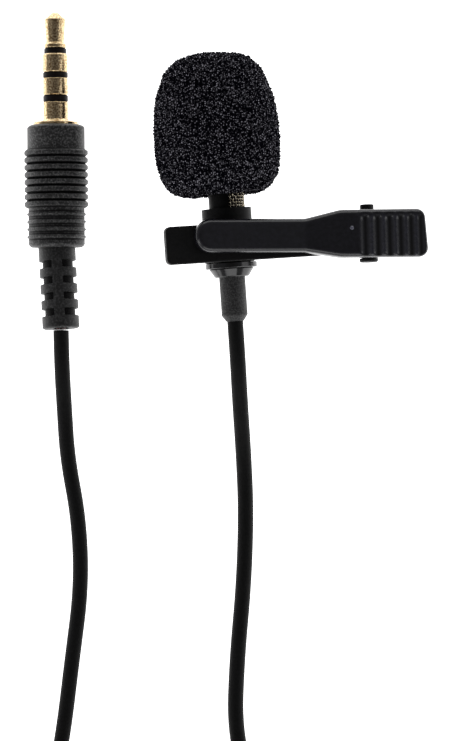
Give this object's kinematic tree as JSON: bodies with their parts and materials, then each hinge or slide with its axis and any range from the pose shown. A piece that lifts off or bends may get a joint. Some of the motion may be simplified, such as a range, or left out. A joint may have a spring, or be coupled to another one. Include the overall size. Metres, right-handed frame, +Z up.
{
  "type": "lavalier microphone",
  "caption": "Tie-clip microphone with a foam windscreen, a sprung clip that turns on the barrel, a long cord and a small four-pole plug.",
  "frame": {"origin": "bottom centre of the microphone and clip, on the surface they lie on, without the cord and plug", "axes": "+Y along the microphone's axis towards the windscreen, +X along the clip towards its handles, +Z up"},
  "size_m": [0.0603, 0.1486, 0.0174],
  "materials": {
    "foam": "open-cell foam, matte",
    "black_metal": "glossy black",
    "mesh": "fine woven wire",
    "rubber": "matte",
    "capsule_metal": "satin",
    "film": "metallised film",
    "board": "printed board",
    "insulator": "smooth",
    "wire_jacket": "satin",
    "clip_plastic": "satin moulded",
    "pin_metal": "black",
    "spring_steel": "blackened",
    "plated": "gold plated",
    "grip_rubber": "fine grain, matte",
    "cord_jacket": "satin",
    "tie": "plastic-coated wire"
  },
  "bodies": {
    "microphone": {"mic_barrel": "black_metal", "side_mesh": "mesh", "top_mesh": "mesh", "capsule_boot": "rubber", "capsule_can": "capsule_metal", "diaphragm": "film", "backplate": "capsule_metal", "backplate_holder": "insulator", "capsule_board": "board", "signal_wire": "wire_jacket", "ground_wire": "wire_jacket", "stop_ring": "black_metal", "base_cone": "black_metal", "mic_strain_relief": "rubber", "plug_tip": "plated", "plug_ring_1": "plated", "plug_ring_2": "plated", "plug_sleeve": "plated", "tip_insulator": "insulator", "ring_insulator": "insulator", "sleeve_insulator": "insulator", "plug_inner_mould": "insulator", "plug_grip": "grip_rubber", "plug_strain_relief": "grip_rubber", "plug_wires": "wire_jacket", "mic_cable": "cord_jacket", "plug_cable": "cord_jacket", "cable_coil": "cord_jacket", "cable_tie": "tie"},
    "clip": {"clip_jaw": "clip_plastic", "pivot_pin": "pin_metal", "torsion_spring": "spring_steel"},
    "lever": {"clip_lever": "clip_plastic"},
    "windscreen": {"foam_windscreen": "foam"}
  },
  "joints": [
    {"name": "clip_swivel", "type": "hinge", "parent": "microphone", "child": "clip", "pos_m": [-0.009, -0.0078, 0.0086], "axis": [0, -1, 0], "range_deg": [-120, 150]},
    {"name": "lever_pinch", "type": "hinge", "parent": "clip", "child": "lever", "pos_m": [0.01, -0.0079, 0.00998], "axis": [0.032, 0.9986, -0.0425], "range_deg": [0, 35], "stiffness_Nm_per_rad": 0.06, "springref_deg": -34.38, "deforming": ["torsion_spring"]},
    {"name": "windscreen_pull", "type": "slide", "parent": "microphone", "child": "windscreen", "axis": [0, 1, 0], "range_m": [0, 0.016]}
  ]
}
